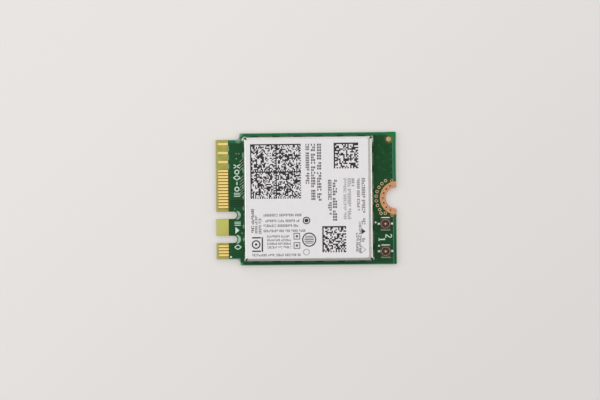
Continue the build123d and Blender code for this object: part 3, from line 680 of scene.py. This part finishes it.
def draw_words(shape, box):
    """Line of small stacks of equal dashes, broken by gaps."""
    x0, y0, _, x1, y1, _ = box
    upright = y1 - y0 > x1 - x0
    length = max(x1 - x0, y1 - y0)
    height = min(x1 - x0, y1 - y0)
    run = 0.0
    stacks_left = chance.randint(*WORD_LENGTH)
    while run + DASH_LENGTH * height < length:
        start, end = run, run + DASH_LENGTH * height
        lows = [level * height for level in DASH_LEVELS]
        if chance.random() < DASH_DROPPED:
            lows.remove(chance.choice(lows))
        for low in lows:
            high = low + DASH_THICKNESS * height
            if upright:
                shape.block(x0 + low, y1 - end, x0 + high, y1 - start, PRINT_LOW, PRINT_HIGH)
            else:
                shape.block(x0 + start, y0 + low, x0 + end, y0 + high, PRINT_LOW, PRINT_HIGH)
        run += STACK_PITCH * height
        stacks_left -= 1
        if stacks_left == 0:
            run += WORD_GAP * height
            stacks_left = chance.randint(*WORD_LENGTH)


codes, bold_words, soft_words, pale_words = Shape(), Shape(), Shape(), Shape()
for box in parts_of("label_print"):
    x_size, y_size = box[3] - box[0], box[4] - box[1]
    from_left = box[0] - LABEL[0]
    in_first = from_left < FIRST_COLUMN
    in_middle = MIDDLE_COLUMNS[0] < from_left < MIDDLE_COLUMNS[1]
    if min(x_size, y_size) > CODE_SIZE:
        draw_code(codes, box)
    elif y_size > x_size and (in_first or in_middle):
        draw_words(bold_words, box)
    elif PALE_COLUMNS[0] < from_left < PALE_COLUMNS[1]:
        draw_words(pale_words, box)
    else:
        draw_words(soft_words, box)


def on_label(across, up):
    """Point at a distance from the label's near left corner."""
    return (LABEL[0] + across, LABEL[1] + up)


# Plain geometric marks on the label: first a ring and a dot inside three lines
x, y = on_label(1.55, 2.32)
codes.ring(x, y, 0.52, 0.72, PRINT_LOW, PRINT_HIGH)
codes.disc(x, y, 0.2, PRINT_LOW, PRINT_HIGH)
codes.block(x + 0.92, y - 1.22, x + 1.14, y + 1.22, PRINT_LOW, PRINT_HIGH)
for offset in (-1.22, 1.0):
    codes.block(x - 0.66, y + offset, x + 0.78, y + offset + 0.22, PRINT_LOW, PRINT_HIGH)
# Ring with a thick middle
x, y = on_label(9.92, 6.22)
codes.ring(x, y, 0.46, 0.62, PRINT_LOW, PRINT_HIGH)
codes.disc(x, y, 0.32, PRINT_LOW, PRINT_HIGH)
# Circle with five lines across it, and a small ring below
LINED_RADIUS = 0.98
x, y = on_label(10.34, 3.05)
codes.ring(x, y, LINED_RADIUS, 1.17, PRINT_LOW, PRINT_HIGH, 48)
for offset in (-0.56, -0.28, 0.0, 0.28, 0.56):
    half = 0.8 * math.sqrt(LINED_RADIUS ** 2 - offset ** 2)
    codes.block(x - half, y + offset - 0.06, x + half, y + offset + 0.06, PRINT_LOW, PRINT_HIGH)
x, y = on_label(9.86, 0.99)
pale_words.ring(x, y, 0.42, 0.54, PRINT_LOW, PRINT_HIGH)
# Two dots, each in a square frame
for up in (3.63, 2.10):
    x, y = on_label(8.30, up)
    soft_words.frame_line(x - 0.54, y - 0.54, x + 0.54, y + 0.54, 0.13, PRINT_LOW, PRINT_HIGH)
    soft_words.disc(x, y, 0.22, PRINT_LOW, PRINT_HIGH, 12)
# Solid triangle, and one drawn in outline
x, y = on_label(19.34, 4.34)
codes.plate([(x - 0.33, y - 0.5), (x + 0.33, y), (x - 0.33, y + 0.5)], PRINT_LOW, PRINT_HIGH)
x, y = on_label(19.27, 1.32)
corners = [(x - 0.4, y - 0.62), (x + 0.42, y), (x - 0.4, y + 0.62)]
for start, end in zip(corners, corners[1:] + corners[:1]):
    pale_words.stroke([start, end], 0.09, PRINT_LOW, PRINT_HIGH)

piece("label_codes", codes, ink, ["label_print"])
piece("label_words", bold_words, ink, ["label_print"])
piece("label_soft_words", soft_words, soft_ink, ["label_print"])
piece("label_pale_words", pale_words, pale_ink, ["label_print"])


# Marks and relief on the green coat

COAT = box_of("solder_mask_top")
COAT_TOP = COAT[5]
MARK_LOW = COAT_TOP - 0.006
MARK_HIGH = COAT_TOP + 0.016
TRACE_HIGH = COAT_TOP + 0.007
FAINT_HIGH = COAT_TOP + 0.004


def sideways(path, x, y):
    """Strokes of a number whose top points towards +X."""
    return [(x + up, y - across) for across, up in path]


# The numbers 2 and 1 beside the jacks, as strokes with their widths
TWO_PLACE = (13.67, -6.27)
ONE_PLACE = (12.54, -6.87)
marks = Shape()
two_arch = [around(0, 0.24, 0.24, 170 - 12 * i) for i in range(18)]
for path, place_of_number, width in (
        (two_arch + [(-0.26, -0.50)], TWO_PLACE, 0.13),
        ([(-0.30, -0.49), (0.30, -0.49)], TWO_PLACE, 0.14),
        ([(0.0, -0.5), (0.0, 0.55)], ONE_PLACE, 0.18),
        ([(-0.24, -0.5), (0.24, -0.5)], ONE_PLACE, 0.13),
        ([(-0.2, 0.32), (0.0, 0.52)], ONE_PLACE, 0.13)):
    marks.stroke(sideways(path, *place_of_number), width, MARK_LOW, MARK_HIGH)


def outline(corners, width):
    """Closed line through a list of corners."""
    for start, end in zip(corners, corners[1:] + corners[:1]):
        marks.stroke([start, end], width, MARK_LOW, MARK_HIGH)


def coat_mark(form, x, y):
    """One plain geometric mark about 1.2 mm by 0.75 mm."""
    if form == "diamond":
        outline([(x + 0.58, y), (x, y + 0.38), (x - 0.58, y), (x, y - 0.38)], 0.15)
    elif form == "circle":
        marks.ring(x, y, 0.25, 0.42, MARK_LOW, MARK_HIGH, 24)
    elif form == "cross":
        marks.stroke([(x - 0.52, y - 0.3), (x + 0.52, y + 0.3)], 0.16, MARK_LOW, MARK_HIGH)
        marks.stroke([(x - 0.52, y + 0.3), (x + 0.52, y - 0.3)], 0.16, MARK_LOW, MARK_HIGH)
    elif form == "bars":
        for offset in (-0.32, -0.055, 0.21):
            marks.block(x - 0.52, y + offset, x + 0.52, y + offset + 0.11, MARK_LOW, MARK_HIGH)
    elif form == "dash":
        marks.block(x - 0.09, y - 0.26, x + 0.09, y + 0.26, MARK_LOW, MARK_HIGH)


MARK_PITCH = 0.946
for i, form in enumerate(("cross", "circle", "diamond", "dash", "circle", "bars")):
    coat_mark(form, -11.48, 5.50 - MARK_PITCH * i)
coat_mark("bars", -11.42, -4.03)
coat_mark("diamond", -11.4, -7.93)
piece("coat_marks", marks, white_mark)

# Rounded inner corners where the tongue meets the shoulders
CORNER_OVERLAP = 0.05
inner_laminate, inner_coat = Shape(), Shape()
for side in (1, -1):
    centre = (SHOULDER - INNER_RADIUS, TONGUE_HALF + INNER_RADIUS)
    form = [(SHOULDER + CORNER_OVERLAP, TONGUE_HALF - CORNER_OVERLAP)]
    form.append((SHOULDER + CORNER_OVERLAP, TONGUE_HALF + INNER_RADIUS))
    form += [around(*centre, INNER_RADIUS, -9 * i) for i in range(11)]
    form.append((SHOULDER - INNER_RADIUS, TONGUE_HALF - CORNER_OVERLAP))
    form = [(x, side * y) for x, y in form][::side]
    inner_laminate.plate(form, BOARD[2], BOARD[5])
    inner_coat.plate(form, BOARD[5], COAT_TOP - 0.002)
piece("inner_corner_laminate", inner_laminate, laminate)
piece("inner_corner_coat", inner_coat, green_coat)

# Pale crescent round the end of each slot, widest in its middle
CRESCENT_ANGLES = range(-54, 55, 6)
crescents = Shape()
for slot_y in SLOT_PLACES:
    inner, outer = [], []
    for angle in CRESCENT_ANGLES:
        swelling = 0.42 * math.cos(math.radians(angle * 1.6)) ** 0.6
        inner.append(around(SLOT_END, slot_y, 0.76, angle))
        outer.append(around(SLOT_END, slot_y, 0.78 + swelling, angle))
    crescents.plate(outer + inner[::-1], MARK_LOW, COAT_TOP + 0.008)
piece("slot_crescents", crescents, pale_coat)

# Short slanting traces with a dark line below each, then four dark lines to the contacts
traces, dark_lines, faint = Shape(), Shape(), Shape()
for y in (6.80, 6.32, 5.85, 5.37, 3.94, 3.46, 2.99, 2.51, 2.04, 1.62, 1.20):
    traces.stroke([(-11.0, y - 0.59), (-10.38, y)], 0.12, MARK_LOW, TRACE_HIGH)
    dark_lines.stroke([(-11.0, y - 0.81), (-10.38, y - 0.22)], 0.16, MARK_LOW, FAINT_HIGH)
for y in (-0.2, -0.5, -0.8, -1.1):
    dark_lines.stroke([(-12.6, y), (-10.35, y)], 0.11, MARK_LOW, FAINT_HIGH)
# Pale edge of the coat beside the places that have no contact
fingers = sorted(parts_of("contact_fingers_top"), key=lambda box: box[1])
for below, above in zip(fingers, fingers[1:]):
    if 0.9 < above[1] - below[4] < 2:
        traces.block(COAT[0] + 0.02, below[4] + 0.1, COAT[0] + 0.14, above[1] - 0.1, MARK_LOW, TRACE_HIGH)
# Spots, and short faint lines where the contacts run on under the coat
for x, y in ((-11.55, 7.62), (-11.12, 7.62), (-11.55, 6.78), (-11.9, -1.6), (-10.7, -5.6)):
    traces.disc(x, y, 0.11, MARK_LOW, TRACE_HIGH, 12)
faint_places = [(12.85, 7.53), (13.0, 6.1), (13.0, 4.68), (12.2, 8.9), (11.9, 6.8), (12.3, 5.2),
                (12.2, -1.2), (11.4, -3.0), (11.6, -5.9), (14.2, -9.9), (14.3, -6.9), (11.5, -10.2),
                (-12.3, 3.6), (-12.25, 1.1)]
faint_places += [(14.15, 8.53 - 1.07 * i) for i in range(6)]
for x, y in faint_places:
    faint.disc(x, y, 0.14, MARK_LOW, FAINT_HIGH, 12)
for box in fingers:
    y = (box[1] + box[4]) / 2
    faint.block(COAT[0] + 0.05, y - 0.06, COAT[0] + 0.4, y + 0.06, MARK_LOW, FAINT_HIGH)
piece("coat_traces", traces, trace_coat)
piece("coat_dark_lines", dark_lines, dark_coat)
piece("coat_faint_spots", faint, faint_coat)


# Solder with a hollow, uneven slope in place of the straight strips of the solids

SOLDER_LOW = COAT_TOP - 0.03
STATION_LENGTH = 0.14
SECTION_POINTS = 7
SIDE_FOOT = 0.05
OFF_CENTRE = 0.5


def solder_slope(shape, box, middle):
    """One strip of solder in a box; it leans on the side that faces the middle point."""
    x0, y0, low, x1, y1, high = box
    along_x = x1 - x0 > y1 - y0
    length = (x1 - x0) if along_x else (y1 - y0)
    width = (y1 - y0) if along_x else (x1 - x0)
    outward = 1 if ((y0 + y1) / 2 > middle[1] if along_x else (x0 + x1) / 2 > middle[0]) else -1
    stations = max(6, int(length / STATION_LENGTH))
    ring = SECTION_POINTS
    points = []
    # The strip thins out at both ends and swells unevenly along its run
    swell = 1.0
    for i in range(stations + 1):
        run = length * i / stations
        from_end = min(run, length - run)
        end_share = min(1.0, 0.45 + from_end / 0.22)
        swell = 0.7 * swell + 0.3 * chance.uniform(0.72, 1.12)
        reach = width * min(1.0, swell * end_share)
        rise = (high - low) * min(1.0, (0.75 + 0.3 * swell) * end_share)
        section = [(0.0, low)]
        for k in range(ring - 1):
            turn = math.radians(90 * k / (ring - 2))
            section.append((reach * (1 - math.cos(turn)), low + rise * (1 - math.sin(turn)) ** 1.15))
        for out, level in section:
            if along_x:
                base = y0 if outward > 0 else y1
                points.append((x0 + run, base + outward * out, level))
            else:
                base = x0 if outward > 0 else x1
                points.append((base + outward * out, y0 + run, level))
    faces = [list(range(ring)), [stations * ring + k for k in range(ring)][::-1]]
    for i in range(stations):
        for k in range(ring):
            after = (k + 1) % ring
            faces.append([i * ring + k, (i + 1) * ring + k, (i + 1) * ring + after, i * ring + after])
    if along_x == (outward > 0):
        faces = [face[::-1] for face in faces]
    shape.add(points, faces)


def slopes(name, node, middles, material):
    """Replaces a node's strips; each strip leans on whichever middle point is nearest."""
    shape = Shape()
    for box in parts_of(node):
        x, y = (box[0] + box[3]) / 2, (box[1] + box[4]) / 2
        middle = min(middles, key=lambda point: math.hypot(point[0] - x, point[1] - y))
        solder_slope(shape, box, middle)
    piece(name, shape, material, [node], smooth=True)


# The can's solder strips take the solder with painted shade.
slopes("can_solder", "shield_solder", [((CAN[0] + CAN[3]) / 2, (CAN[1] + CAN[4]) / 2)], solder_in_can_shade)

far_solder, near_solder = Shape(), Shape()
for box in parts_of("antenna_jack_solder"):
    middle = min(JACKS, key=lambda jack: math.hypot(jack[0] - box[0], jack[1] - box[1]))
    if box[1] > middle[1] + OFF_CENTRE:
        box = [box[0], box[1] - SIDE_FOOT, box[2], box[3], box[4] + 0.04, box[5] + 0.05]
    elif box[3] < middle[0] - OFF_CENTRE:
        box[0] += 0.06
    elif box[0] > middle[0] + OFF_CENTRE:
        box[3] -= 0.05
    on_near_side = box[4] < middle[1] - OFF_CENTRE
    solder_slope(near_solder if on_near_side else far_solder, box, middle)
for x, y in JACKS:
    far_solder.dome(x - JACK_REACH + 0.12, y + 0.02, 0.15, 0.19, SOLDER_LOW, JACK_TAB_TOP + 0.08)
    far_solder.dome(x + JACK_REACH - 0.07, y + 0.03, 0.19, 0.22, SOLDER_LOW, JACK_TAB_TOP + 0.10)
    near_solder.dome(x + 0.72, y - 1.0, 0.11, 0.16, SOLDER_LOW, JACK_TAB_TOP + 0.04)
# The far solder is bright; the near solder is the copy with painted shade.
piece("jack_solder_far", far_solder, solder, ["antenna_jack_solder"], smooth=True)
piece("jack_solder_near", near_solder, solder_in_near_shade, ["antenna_jack_solder"], smooth=True)

# Blobs at the can's corners: middle, reach along X and Y, and rise over the coat
blobs = Shape()
for x, y, x_reach, y_reach, rise in (
        (CAN[0] - 0.24, CAN[4] - 0.30, 0.27, 0.36, 0.16),
        (CAN[0] + 0.05, CAN[4] + 0.07, 0.30, 0.12, 0.12),
        (CAN[3] + 0.08, CAN[4] - 0.50, 0.14, 0.60, 0.14),
        (CAN[3] - 0.02, CAN[4] + 0.04, 0.22, 0.10, 0.12),
        (CAN[0] - 0.06, CAN[1] + 0.20, 0.13, 0.32, 0.16),
        (CAN[3] + 0.10, CAN[1] + 0.26, 0.12, 0.30, 0.14)):
    blobs.dome(x, y, x_reach, y_reach, SOLDER_LOW, COAT_TOP + rise)
piece("corner_solder", blobs, corner_tin, smooth=True)

# Low patches of solder beside the can's end walls, with painted shade
patches = Shape()
for y, y_reach in ((7.30, 0.62), (4.86, 0.60), (2.02, 0.42), (0.35, 0.40), (-1.5, 0.45), (-4.5, 0.4),
                   (-6.7, 0.35)):
    patches.dome(CAN[0] - 0.18, y, 0.26, y_reach, SOLDER_LOW, COAT_TOP + 0.04)
for y, y_reach in ((6.2, 0.7), (1.9, 0.5), (-4.0, 0.5)):
    patches.dome(CAN[3] + 0.06, y, 0.16, y_reach, SOLDER_LOW, COAT_TOP + 0.03)
piece("wall_solder_in_shade", patches, wall_tin_in_shade, smooth=True)


# Table, light and camera

TABLE_REACH = 1.5
TABLE_LEVEL = -1e-5
TOUCHING = 0.2 * MM
GLOW_SHARE = 0.35
GLOW_LEVEL = 0.985


def floor_colour(tree):
    """White table, with painted shade a little darker towards the near right."""
    x, y, _ = axes(tree)
    across = step(tree, maths(tree, "SUBTRACT", x, y), -85.0, 95.0)
    return mixed(tree, across, rgb(234, 230, 227), rgb(221, 217, 214))


floor_mesh = bpy.data.meshes.new("table")
floor_corners = [(-TABLE_REACH, -TABLE_REACH, TABLE_LEVEL), (TABLE_REACH, -TABLE_REACH, TABLE_LEVEL),
                 (TABLE_REACH, TABLE_REACH, TABLE_LEVEL), (-TABLE_REACH, TABLE_REACH, TABLE_LEVEL)]
floor_mesh.from_pydata(floor_corners, [], [(0, 1, 2, 3)])
floor = bpy.data.objects.new("table", floor_mesh)
bpy.context.scene.collection.objects.link(floor)
floor_surface = surface("table_top", floor_colour, 0.75, specular=0.2, bump=grained(1.5), depth=0.01)
floor_mesh.materials.append(floor_surface)
tree = floor_surface.node_tree
# Seen from below the table is clear, and it lets light reach the face that rests on it
ray_length = add(tree, "ShaderNodeLightPath").outputs["Ray Length"]
touching = maths(tree, "LESS_THAN", ray_length, TOUCHING)
behind = add(tree, "ShaderNodeNewGeometry").outputs["Backfacing"]
under = add(tree, "ShaderNodeMixShader", {
    0: maths(tree, "MAXIMUM", touching, behind),
    1: tree.nodes["Principled BSDF"].outputs[0],
    2: add(tree, "ShaderNodeBsdfTransparent").outputs[0]})
tree.links.new(under.outputs[0], tree.nodes["Material Output"].inputs[0])
# A share of the table's paleness is its own, so that shadows on it stay light, but none under the board
ray = add(tree, "ShaderNodeLightPath")
seen = maths(tree, "MAXIMUM", ray.outputs["Is Camera Ray"], ray.outputs["Is Glossy Ray"])
seen = maths(tree, "MAXIMUM", seen, ray.outputs["Is Transmission Ray"])
glow = add(tree, "ShaderNodeEmission", {0: floor_colour(tree), 1: GLOW_LEVEL}).outputs[0]
here_x, here_y, _ = axes(tree)
under_board = maths(tree, "MULTIPLY", span(tree, here_x, SHOULDER, RIGHT_EDGE, 0.01),
                    span(tree, here_y, -HALF_WIDTH, HALF_WIDTH, 0.01))
from_notch = distance(tree, RIGHT_EDGE, 0.0)
off_notch = step(tree, from_notch, NOTCH_RADIUS - 0.01, NOTCH_RADIUS + 0.01)
under_board = maths(tree, "MULTIPLY", under_board, off_notch)
open_floor = maths(tree, "SUBTRACT", 1.0, under_board)
pale = add(tree, "ShaderNodeMixShader", {
    0: maths(tree, "MULTIPLY", maths(tree, "MULTIPLY", seen, open_floor), GLOW_SHARE),
    1: tree.nodes["Principled BSDF"].outputs[0],
    2: glow})
tree.links.new(pale.outputs[0], under.inputs[1])

world = bpy.data.worlds.new("studio")
world.use_nodes = True
bpy.context.scene.world = world
tree = world.node_tree
heading = add(tree, "ShaderNodeSeparateXYZ", {0: add(tree, "ShaderNodeTexCoord").outputs["Generated"]})
right, far, up = heading.outputs
# What shiny surfaces mirror: brighter on the left and dark on the near side
left_overhead = fall(tree, right, -0.09, -0.03)
above = mixed(tree, left_overhead, (0.60, 0.60, 0.59, 1.0), (1.1, 1.09, 1.07, 1.0))
left_side = fall(tree, right, -0.5, 0.1)
sides = mixed(tree, left_side, (0.77, 0.76, 0.72, 1.0), (0.93, 0.94, 0.93, 1.0))
gloss = mixed(tree, step(tree, up, 0.80, 0.97), sides, above)
gloss = tinted(tree, gloss, fall(tree, far, -0.25, 0.0), 0.9, grey(0.28))
# What lights the rest: strong from overhead and from below, weak from the sides, weakest on the near side
light = mixed(tree, step(tree, up, 0.40, 0.85), grey(0.24), grey(1.02))
light = tinted(tree, light, fall(tree, far, -0.9, -0.1), 0.36, grey(0.0))
light = mixed(tree, fall(tree, up, -0.3, -0.05), light, grey(0.8))
ray = add(tree, "ShaderNodeLightPath")
shine = maths(tree, "MAXIMUM", ray.outputs["Is Glossy Ray"], ray.outputs["Is Transmission Ray"])
sky = mixed(tree, shine, light, gloss)
sky = mixed(tree, ray.outputs["Is Camera Ray"], sky, (0.80, 0.79, 0.78, 1.0))
tree.links.new(sky, tree.nodes["Background"].inputs["Color"])


def softbox(name, spot, width, height, watts):
    """Large soft lamp that faces the card."""
    lamp = bpy.data.lights.new(name, "AREA")
    lamp.shape = "RECTANGLE"
    lamp.size, lamp.size_y = width, height
    lamp.energy = watts
    made = bpy.data.objects.new(name, lamp)
    made.location = spot
    made.rotation_euler = (-Vector(spot)).to_track_quat("-Z", "Y").to_euler()
    made.visible_camera = False
    bpy.context.scene.collection.objects.link(made)


softbox("left_light", (-0.55, 0.05, 0.38), 0.5, 0.5, 1.16)
softbox("right_light", (0.55, 0.05, 0.38), 0.5, 0.5, 1.16)
softbox("far_light", (0.0, 0.6, 0.45), 0.7, 0.35, 0.7)

camera_data = bpy.data.cameras.new("camera")
camera_data.lens = 108.4
camera_data.sensor_width = 36.0
camera_data.clip_start = 0.01
camera = bpy.data.objects.new("camera", camera_data)
camera.location = Vector((7.50, -3.31, 300.87)) * MM
camera.rotation_euler = Euler([math.radians(angle) for angle in (0.58, 1.63, -0.55)])
bpy.context.scene.collection.objects.link(camera)
bpy.context.scene.camera = camera
bpy.context.scene.view_settings.view_transform = "Standard"
